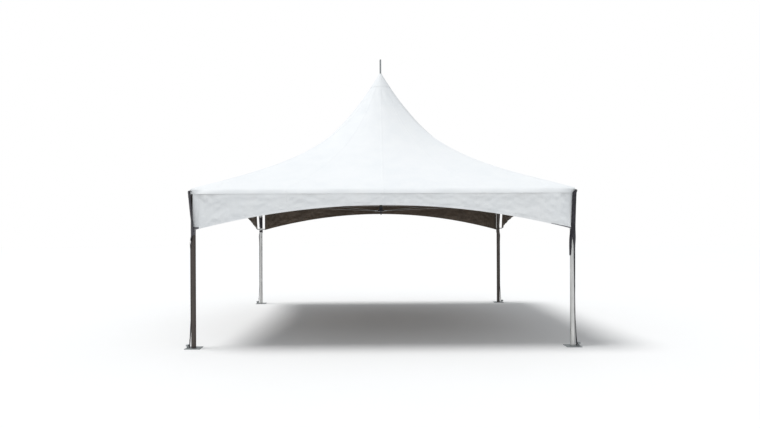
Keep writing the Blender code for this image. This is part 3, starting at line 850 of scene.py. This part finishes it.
def make_skirt(side):
    """One skirt with its hem and the welded seams below the gores of the top."""
    along = np.linspace(skirt_end(side, -1), skirt_end(side, 1), SKIRT_COLUMNS)
    shares = np.concatenate([
        np.linspace(0, 0.2, 8)[:-1], np.linspace(0.2, 0.93, 17)[:-1], np.linspace(0.93, 1, 6),
    ])
    height = skirt_rows(side, along, shares)
    cloth = cloth_shell(f"skirt_{side}", skirt_point(side, along, height), flat_grid(along, height))
    fix(cloth, "top_fabric", [f"valance_{side}"])

    # Hem: the cloth turned up and welded over a webbing that takes the pull
    share = np.array([-0.03, 0.0, 0.12, 0.5, 0.88, 1.0, 1.03])[:, None]
    raised = np.array([0.0, 1.0, 1.35, 1.1, 1.35, 1.0, 0.0])[:, None] * LAP * 1.25 + HEM_CLEAR
    low = hem_height(along, SKIRT_HALF[side])
    hem = join_bands(f"skirt_{side}_hem", [skirt_point(side, along, low + HEM_WIDTH * share, raised)])

    seams = []
    for place in (-0.5 * HALF, 0.0, 0.5 * HALF):
        across = place + np.array([-0.5, -0.45, 0.0, 0.45, 0.5]) * SEAM_WIDTH
        lifts = np.array([0, 1, 1, 1, 0]) * LAP + SKIRT_SEAM_CLEAR
        seams.append(skirt_point(side, across, skirt_rows(side, across, np.linspace(0.10, 1.0, 26)), lifts))
    seams = join_bands(f"skirt_{side}_seams", seams)
    area = float((SKIRT_TOP - low).mean() * 2 * SKIRT_HALF[side])
    return cloth, [fix(hem, "top_fabric"), fix(seams, "top_fabric")], area


skirts = {side: make_skirt(side) for side in SIDES}


# Tension straps: webbing from the lug at each corner of the top, across the ties, down the leg

STRAP_WIDTH = 0.075
STRAP_LOW_WIDTH = 0.050  # drawn narrower below the ties
STRAP_THICK = 0.0026
STRAP_SEAT = TUBE_RADIUS + 0.0008 + STRAP_THICK / 2
STRAP_AT_TIES = 1.930    # from here down to the next it crosses the ties
STRAP_ROLLS = 1.845      # here it starts to roll round the leg
STRAP_LIES = 1.560       # below this it lies along the leg
STRAP_LEAVES = 0.450     # here it leaves the leg for the plate
STRAP_DOUBLED = (EAVE_HEIGHT - 0.022, EAVE_HEIGHT - 0.120)    # doubled and sewn, from and down to
STRAP_LOOP = 0.150       # doubled again from here down to the plate
BAND_STEP = 0.008        # between a band's points
# Over the lug: (reach from the leg's axis, how far below the eave)
STRAP_OVER_LUG = ((0.056, 0.002), (0.064, 0.002), (0.071, 0.006), (0.0725, 0.014), (0.0715, 0.025))
# (reach, bearing and facing in degrees from X) below the eave and above the ties
STRAP_EAVE = {"fl": (0.068, 46, 45), "fr": (0.0723, 76, 76), "rl": (0.068, 45, 45), "rr": (0.068, 45, 45)}
STRAP_TIES = {"fl": (0.0645, 97, 42), "fr": (0.052, 88, 84), "rl": (0.052, 80, 78), "rr": (0.052, 80, 78)}
STRAP_ROLLED = {"fl": -4, "fr": 35, "rl": 0, "rr": 6}     # bearing where it comes to lie on the leg
STRAP_LOW = {"fl": -4, "fr": 10, "rl": 0, "rr": 6}        # bearing where it leaves the leg


def strap_route(tag):
    """Reach, bearing, facing and height down the strap: over the lug, past the ties, down the leg."""
    knots = [(reach, 45, 45, EAVE_HEIGHT - below) for reach, below in STRAP_OVER_LUG]
    reach, bearing, facing = STRAP_TIES[tag]
    rolled, low = STRAP_ROLLED[tag], STRAP_LOW[tag]
    knots += [
        (*STRAP_EAVE[tag], EAVE_HEIGHT - 0.045), (reach, bearing, facing, STRAP_AT_TIES),
        (reach, bearing, facing, STRAP_ROLLS),
    ]
    for part in (0.2, 0.4, 0.6, 0.8, 1.0):
        turned = float(smooth_step(0, 1, part))
        knots.append((
            reach + (STRAP_SEAT - reach) * turned, bearing + (rolled - bearing) * turned,
            facing + (rolled - facing) * turned, STRAP_ROLLS + (STRAP_LIES - STRAP_ROLLS) * part,
        ))
    return np.array(knots + [(STRAP_SEAT, low, low, STRAP_LEAVES), (0.064, 0, 0, PLATE_TOP + 0.002)])


def band_at_leg(tag, centres, across, out, width, thickness, cloth):
    """Webbing drawn about the right rear leg's axis and mirrored to its own corner."""
    mirror = (*CORNERS[tag], 1)
    centres = (centres + (HALF, HALF, 0)) * mirror
    return flat_band(centres, across * mirror, out * mirror, width, thickness, cloth)


def strap_piece(tag, high, low, lift, share):
    """One band along the strap between two heights; share is its part of the strap's width."""
    knots = strap_route(tag)
    gone = reached(np.hypot(np.diff(knots[:, 3]), np.diff(knots[:, 0])))
    even = np.linspace(0, gone[-1], int(gone[-1] / BAND_STEP))
    line = [np.interp(even, gone, values) for values in knots.T]
    for values in line:
        soften(values, 3)
    keep = (line[3] <= high) & (line[3] >= low)
    reach, bearing, facing, height = (values[keep] for values in line)
    centres = about_axis(reach, np.radians(bearing), height)
    across = np.cross((0, 0, 1), towards(np.radians(facing)))
    out = -unit(np.cross(across, np.gradient(centres, axis=0)))
    width = STRAP_LOW_WIDTH + (STRAP_WIDTH - STRAP_LOW_WIDTH) * smooth_step(STRAP_LIES, STRAP_ROLLS, height)
    return band_at_leg(tag, centres + out * lift, across, out, width * share, STRAP_THICK, webbing)


def make_strap(tag):
    """The strap, its doubled stretch below the eave, and its loop at the plate."""
    parts = [
        strap_piece(tag, EAVE_HEIGHT, 0.0, 0.0, 1.0),
        strap_piece(tag, *STRAP_DOUBLED, STRAP_THICK, 0.98),
        strap_piece(tag, STRAP_LOOP, 0.0, STRAP_THICK, 0.96),
    ]
    return fix(joined(f"strap_{tag}", parts), "webbing", [f"tension_strap_{tag}"])


# Ties: hem webbing that comes out of the skirts' ends and runs round the leg behind the strap

TIE_THICK = 0.0022
TIE_LIFT = 3.4 * LAP     # off the hem
TIE_POINTS = 24
TIE_HEIGHT = SKIRT_CORNER + 0.018
# (how far it shows along the front or rear hem, its width there)
TIE_SHOWS = {"fl": (0.10, 0.050), "fr": (0.34, 0.018), "rl": (0.16, 0.024), "rr": (0.16, 0.024)}
SIDE_TIE = (0.14, 0.024)
TIE_WIDTH = 0.026        # round the leg
# The front ties are grey and draw a dark line along the front hems
TIE_CLOTHS = {"fl": (webbing_grey, "webbing"), "fr": (webbing_grey, "webbing"),
              "rl": (top_white, "top_fabric"), "rr": (top_white, "top_fabric")}
# Loose ends below the ties: (length, bearing at the tie, bearing at the end)
LOOSE_ENDS = {"fl": (0.10, 100, 118), "fr": (0.45, 104, 172),
              "rl": (0.10, 100, 118), "rr": (0.12, 100, 124)}
LOOSE_WIDTH = 0.050
# Webbing wound round the left rear leg below the ties, and a dark winding above them that paints the shade
# on the leg's top: (lowest, highest)
WOUND_AND_SHADE = ((1.902, 2.215), (1.795, 1.866))
WOUND_WIDTH = 0.046
WOUND_THICK = 0.0018


def tie_run(side, toward, shows, width):
    """Centres and widths of a tie along a skirt's hem, out to the skirt's end."""
    end = abs(skirt_end(side, toward))
    along = np.linspace(end - shows, end - 0.004, TIE_POINTS) * toward
    widths = width * np.linspace(0.35, 1.0, TIE_POINTS) ** 0.7
    height = hem_height(along, SKIRT_HALF[side]) + widths / 2 + 0.003
    return skirt_point(side, along, height, TIE_LIFT), widths


def tie_band(tag, cloth):
    """The tie in one line: along the front or rear hem, round the leg, along the side hem."""
    sign_x, sign_y = CORNERS[tag]
    long_side, short_side = ("front" if sign_y < 0 else "rear"), ("right" if sign_x > 0 else "left")
    end_of = {"front": sign_x, "rear": -sign_x, "right": sign_y, "left": -sign_y}
    first, first_widths = tie_run(long_side, end_of[long_side], *TIE_SHOWS[tag])
    last, last_widths = tie_run(short_side, end_of[short_side], *SIDE_TIE)
    leg = np.array([sign_x * HALF, sign_y * HALF, TIE_HEIGHT])
    around = towards(np.linspace(pi / 2, 0, 10)) * (TUBE_RADIUS + 0.0006 + TIE_THICK / 2)
    knots = np.concatenate([first, leg + around * (sign_x, sign_y, 1), last[::-1]])
    knot_widths = np.concatenate([first_widths, np.full(len(around), TIE_WIDTH), last_widths[::-1]])
    gone = reached(np.linalg.norm(np.diff(knots, axis=0), axis=1))
    even = np.arange(0, gone[-1], BAND_STEP)
    centres = np.stack([np.interp(even, gone, values) for values in knots.T], axis=-1)
    soften(centres, 2)
    ahead = unit(np.gradient(centres, axis=0))
    out = unit(np.cross(ahead, (0, 0, 1)))
    # Its face looks away from a point just inside the leg
    out *= np.sign((out[:, :2] * (centres - 0.9 * leg)[:, :2]).sum(axis=1))[:, None]
    widths = np.interp(even, gone, knot_widths)
    return flat_band(centres, np.cross(out, ahead), out, widths, TIE_THICK, cloth)


def loose_end(tag, cloth):
    """The tie's end hangs from it and turns as it falls."""
    length, start, end = LOOSE_ENDS[tag]
    part = np.linspace(0, 1, 30)
    bearing = np.radians(start + (end - start) * part ** 0.8)
    away = TUBE_RADIUS + 0.0045 + 0.004 * np.sin(part * 5)
    centres = about_axis(away, bearing, TIE_HEIGHT + 0.012 - length * part)
    facing = towards(bearing)
    return band_at_leg(tag, centres, np.cross((0, 0, 1), facing), facing, LOOSE_WIDTH, TIE_THICK, cloth)


def make_tie(tag):
    cloth, slot = TIE_CLOTHS[tag]
    parts = [tie_band(tag, cloth), loose_end(tag, webbing if tag == "fr" else cloth)]
    return fix(joined(f"corner_tie_{tag}", parts), slot)


def make_winding_and_shade(tag):
    """Spare webbing wound round a leg below the ties, and a dark winding above them that is painted shade.
    """
    parts = []
    for low, high in WOUND_AND_SHADE:
        turns = (high - low) / WOUND_WIDTH
        part = np.linspace(0, 1, int(turns * 26))
        bearing = 2 * pi * turns * part
        height = high - WOUND_WIDTH / 2 - (high - low - WOUND_WIDTH) * part
        centres = about_axis(TUBE_RADIUS + 0.0022, bearing, height)
        across = np.tile((0.0, 0.0, 1.0), (len(bearing), 1))
        width = WOUND_WIDTH + 0.002      # the turns overlap a little
        parts.append(band_at_leg(tag, centres, across, towards(bearing), width, WOUND_THICK, webbing))
    return fix(joined(f"strap_winding_and_shade_{tag}", parts), "webbing")


# Crossed cables: six-strand wire rope with a turnbuckle by each corner

LUG_TIP = 0.092          # from the leg's axis towards the hub
HUB_RIM = 0.090
END_GAP = 0.0009         # between a cable's end and what holds it
CABLE_CORNER = Vector((HALF * sqrt(2) - LUG_TIP - END_GAP, 0, 2.474))
CABLE_HUB = Vector((HUB_RIM + END_GAP, 0, 2.252))
CABLE_LENGTH = (CABLE_HUB - CABLE_CORNER).length
ROPE_RADIUS = 0.0044
ROPE_LAY = 0.060         # its strands turn once in this length
# Turned pieces as (radius, distance) points: the pin from its place, the rest from the lug's end
PIN_PLACE = 0.013
PIN = ((0, -0.0145), (0.0065, -0.0145), (0.0065, -0.0115), (0.0045, -0.0115), (0.0045, 0.014), (0, 0.014))
SADDLE = ((0, 0.038), (0.0105, 0.038), (0.0115, 0.042), (0.0100, 0.052), (0.0062, 0.058), (0, 0.058))
SOCKET = ((0, 0.345), (0.0064, 0.345), (0.0072, 0.350), (0.0072, 0.385), (0.0058, 0.396), (0, 0.396))
# The swage's distances run back from the hub's end
SWAGE = ((0, 0.086), (0.0056, 0.086), (0.0068, 0.080), (0.0068, 0.004), (0.0060, 0.0004), (0, 0.0004))
THREADS = ((0.056, 34), (0.296, 30))           # (start, crests and roots)
THREAD_STEP = 0.0018
BOSSES = ((0.116, 0.142), (0.274, 0.300))      # (start, end)
RAIL = ((0.0036, 0.134), (0.0036, 0.17), (0.0036, 0.21), (0.0036, 0.25), (0.0036, 0.284))
RAIL_OUT = 0.0092
CHEEK = (0.022, 0.052, 0.010)                  # width, length, corner radius
CHEEK_THICK = 0.004
CHEEK_OUT = 0.0085
CHEEK_PLACE = 0.026


def cheek(side):
    """One cheek of the jaw: a flat plate with round corners beside the lug."""
    width, length, corner = CHEEK
    outline = []
    for x, y, start in ((1, 1, 0), (-1, 1, 90), (-1, -1, 180), (1, -1, 270)):
        centre = Vector((x * (width / 2 - corner), y * (length / 2 - corner), 0))
        for turn in np.radians(np.linspace(start, start + 90, 6)):
            outline.append(centre + corner * Vector((cos(turn), sin(turn), 0)))
    place = Matrix.Translation((0, side * CHEEK_OUT - CHEEK_THICK / 2, CHEEK_PLACE))
    matrix = place @ Matrix.Rotation(radians(-90), 4, "X")
    rings = [[matrix @ (point + Vector((0, 0, z))) for point in outline] for z in (0.0, CHEEK_THICK)]
    return skin_rings("cheek", rings, zinc)


def lug_jaw():
    """Two cheeks either side of the lug, the pin through them and the saddle that joins them."""
    across = Matrix.Translation((0, 0, PIN_PLACE)) @ Matrix.Rotation(radians(90), 4, "X")
    pin = turned_shape("pin", PIN, 16, zinc, across)
    return [cheek(-1), cheek(1), pin, turned_shape("saddle", SADDLE, 24, zinc)]


def turnbuckle():
    """Two threaded shanks in an open body: two bosses joined by two round rails."""
    pieces = []
    for start, count in THREADS:
        thread = [(0.0056 if k % 2 else 0.0048, start + THREAD_STEP * k) for k in range(count)]
        thread = [(0.0, start), *thread, (0.0, start + THREAD_STEP * count)]
        pieces.append(turned_shape("thread", thread, 16, zinc))
    for low, high in BOSSES:
        boss = (
            (0, low), (0.009, low), (0.0118, low + 0.004), (0.0118, high - 0.004), (0.009, high), (0, high),
        )
        pieces.append(turned_shape("boss", boss, 6, zinc))
    for side in (-RAIL_OUT, RAIL_OUT):
        pieces.append(turned_shape("rail", RAIL, 12, zinc, Matrix.Translation((0, side, 0))))
    return pieces


def strand_rope(start, end):
    """A straight six-strand rope: a lobed section that turns as it goes."""
    turn = full_turn(18)
    lobed = ROPE_RADIUS * (0.86 + 0.14 * np.abs(np.cos(turn * 3)))
    rings = [
        about_axis(lobed, turn + 2 * pi * gone / ROPE_LAY, start + gone)
        for gone in np.linspace(0, end - start, int((end - start) / 0.0075) + 1)
    ]
    return skin_rings("rope", rings, rope_steel)


def make_cable(tag):
    """Jaw and pin at the lug, turnbuckle with its open body, rope, and a swaged end at the hub."""
    swage = [(radius, CABLE_LENGTH - back) for radius, back in SWAGE]
    cable = joined(f"cable_rope_{tag}", [
        *lug_jaw(), *turnbuckle(), turned_shape("socket", SOCKET, 20, zinc),
        strand_rope(0.390, CABLE_LENGTH - 0.078), turned_shape("swage", swage, 20, zinc),
    ])
    direction = CABLE_HUB - CABLE_CORNER
    sign_x, sign_y = CORNERS[tag]
    placing = Matrix.Translation(CABLE_CORNER) @ Matrix.Rotation(atan2(direction.x, direction.z), 4, "Y")
    cable.data.transform(Matrix.Rotation(atan2(sign_y, sign_x), 4, "Z") @ placing)
    return fix(cable, "wire_rope", [f"cable_{tag}"])


for tag in CORNERS:
    make_strap(tag)
    make_tie(tag)
    make_cable(tag)
make_winding_and_shade("rl")


# Solids that keep their shape take their finishes

def dress(mat, *nodes):
    for node in nodes:
        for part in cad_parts[node].material_slots:
            part.material = mat


for tag in CORNERS:
    # The front left and rear right legs take the darker copy of the tube: painted shade
    dress(tube_painted_shade if tag in ("fl", "rr") else tube_bright, f"leg_{tag}")
    dress(zinc, f"base_plate_{tag}", f"stake_{tag}")
    dress(casting, f"corner_fitting_{tag}")
dress(tube_bright, *[f"eave_tube_{side}" for side in SIDES])
# The cable hub's dark finish is painted shade under the top
dress(steel_painted_shade, "cable_hub")
# The king pole's dark finish is painted shade under the top
dress(tube_deep_shade, "king_pole")
dress(casting, "mast_head")
dress(zinc, "finial_rod")


# Cloth sizes, worked out and left unused

TOP_FLAT = (12.3, 4.25)  # its four triangles laid head to tail

min(top_area, TOP_FLAT[0] * TOP_FLAT[1])
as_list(cap_pieces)
for side, (cloth, pieces, area) in skirts.items():
    length = skirt_end(side, 1) - skirt_end(side, -1)
    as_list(pieces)


# Floor, light and camera

PHOTO_WIDTH = 760        # pixels
HORIZON_SHIFT = 15       # pixels that the picture is moved down in its frame
SUN_DOWN = (0.34, -0.02, -0.94)    # high, from the left, almost along the front
SUN_SPREAD = radians(24)
SUN_STRENGTH = 2.0
ROOM_STRENGTH = 0.54


def lay_floor():
    """A pale floor, wide enough that its edge never shows."""
    bm = bmesh.new()
    bmesh.ops.create_circle(bm, cap_ends=True, radius=60, segments=96)
    data = bpy.data.meshes.new("floor")
    bm.to_mesh(data)
    bm.free()
    pale, tree, shader, place = blank_material("pale floor paint", {"Roughness": 0.9})
    wear = add(tree, "ShaderNodeTexNoise", {"Vector": place, "Scale": per_metre(2500), "Detail": 3.0})
    colour = add(tree, "ShaderNodeMix", {"Factor": wear, "A": "#f8f8f7", "B": "#fbfbfb"}, data_type="RGBA")
    feed(shader, {"Base Color": colour})
    data.materials.append(pale)
    floor = placed("floor", data)


def light_studio():
    """A high soft sun from the left in a pale room that the camera sees as white."""
    key = bpy.data.lights.new("key", "SUN")
    key.energy = SUN_STRENGTH
    key.angle = SUN_SPREAD
    placed("key", key).rotation_euler = Vector(SUN_DOWN).to_track_quat("-Z", "Y").to_euler()

    world = bpy.data.worlds.new("pale room")
    world.use_nodes = True
    tree = world.node_tree
    tree.nodes.clear()
    path = add(tree, "ShaderNodeLightPath")
    seen = add(tree, "ShaderNodeBackground", {"Color": (1, 1, 1, 1), "Strength": 1.0})
    room = add(tree, "ShaderNodeBackground", {"Color": "#f3f6f9", "Strength": ROOM_STRENGTH})
    mix = add(tree, "ShaderNodeMixShader", {0: path.outputs["Is Camera Ray"], 1: room, 2: seen})
    add(tree, "ShaderNodeOutputWorld", {"Surface": mix})
    bpy.context.scene.world = world
    bpy.context.scene.view_settings.view_transform = "Standard"


def stand_camera():
    """The photograph's view: 13 m in front, at eye height, a touch left of the middle, hardly tilted."""
    data = bpy.data.cameras.new("camera")
    data.sensor_width = 36.0
    data.lens = 29.97
    data.shift_y = HORIZON_SHIFT / PHOTO_WIDTH
    data.clip_end = 200
    camera = placed("camera", data)
    camera.location = (-0.15, -13.06, 1.877)
    camera.rotation_euler = (radians(90), radians(0.25), radians(-0.56))
    bpy.context.scene.camera = camera


lay_floor()
light_studio()
stand_camera()
